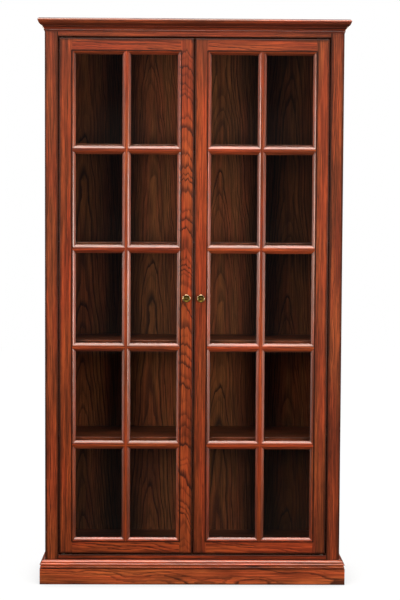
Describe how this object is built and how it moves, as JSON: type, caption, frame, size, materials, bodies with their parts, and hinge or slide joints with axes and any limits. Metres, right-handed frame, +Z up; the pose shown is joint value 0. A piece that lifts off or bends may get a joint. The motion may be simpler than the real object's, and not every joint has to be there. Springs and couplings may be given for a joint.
{
  "type": "bookcase with glass doors",
  "caption": "Tall mahogany bookcase with glazed doors in a face frame, fixed shelves, a crown moulding, a moulded plinth and round brass knobs.",
  "frame": {"origin": "on the floor, under the middle of the whole piece's bounding box", "axes": "+Z up, -Y out of the front, +X to the right of someone facing the front"},
  "size_m": [1.097, 0.35, 2],
  "materials": {
    "mahogany": "red-brown stain under semi-gloss lacquer",
    "mahogany_veneer": "red-brown veneer under satin lacquer",
    "plain_wood": "sawn, unfinished",
    "glass": "clear float glass",
    "antique_brass": "darkened, worn bright on the edges",
    "steel": "zinc plated",
    "brown_plastic": "moulded, fine texture",
    "magnet": "sintered ferrite"
  },
  "bodies": {
    "case": {"back_panel": "mahogany_veneer", "base_back_rail": "plain_wood", "base_corner_blocks": "plain_wood", "base_front_rail": "plain_wood", "case_floor": "mahogany_veneer", "case_pivot_plates": "steel", "case_top_board": "mahogany_veneer", "catch_magnets": "magnet", "crown_front": "mahogany", "crown_left": "mahogany", "crown_right": "mahogany", "frame_bottom_rail": "mahogany", "frame_left_stile": "mahogany", "frame_right_stile": "mahogany", "frame_top_rail": "mahogany", "left_side_panel": "mahogany", "magnetic_catches": "brown_plastic", "pivot_washers": "steel", "plinth_cap_front": "mahogany", "plinth_cap_left": "mahogany", "plinth_cap_right": "mahogany", "plinth_front": "mahogany", "plinth_left": "mahogany", "plinth_right": "mahogany", "right_side_panel": "mahogany", "shelf_1": "mahogany_veneer", "shelf_2": "mahogany_veneer", "shelf_3": "mahogany_veneer", "shelf_4": "mahogany_veneer", "top_cover_panel": "plain_wood"},
    "left_door": {"left_door_bottom_rail": "mahogany", "left_door_glass_panes": "glass", "left_door_glazing_beads": "mahogany", "left_door_hinge_stile": "mahogany", "left_door_horizontal_muntins": "mahogany", "left_door_knob": "antique_brass", "left_door_meeting_stile": "mahogany", "left_door_pivot_plates": "steel", "left_door_strike_plate": "steel", "left_door_top_rail": "mahogany", "left_door_vertical_muntin": "mahogany"},
    "right_door": {"right_door_bottom_rail": "mahogany", "right_door_glass_panes": "glass", "right_door_glazing_beads": "mahogany", "right_door_hinge_stile": "mahogany", "right_door_horizontal_muntins": "mahogany", "right_door_knob": "antique_brass", "right_door_meeting_stile": "mahogany", "right_door_pivot_plates": "steel", "right_door_strike_plate": "steel", "right_door_top_rail": "mahogany", "right_door_vertical_muntin": "mahogany"}
  },
  "joints": [
    {"name": "left_door_hinge", "type": "hinge", "parent": "case", "child": "left_door", "pos_m": [-0.4615, -0.142, 0.107], "axis": [0, 0, -1], "range_deg": [0, 110]},
    {"name": "right_door_hinge", "type": "hinge", "parent": "case", "child": "right_door", "pos_m": [0.4615, -0.142, 0.107], "axis": [0, 0, 1], "range_deg": [0, 110]}
  ]
}
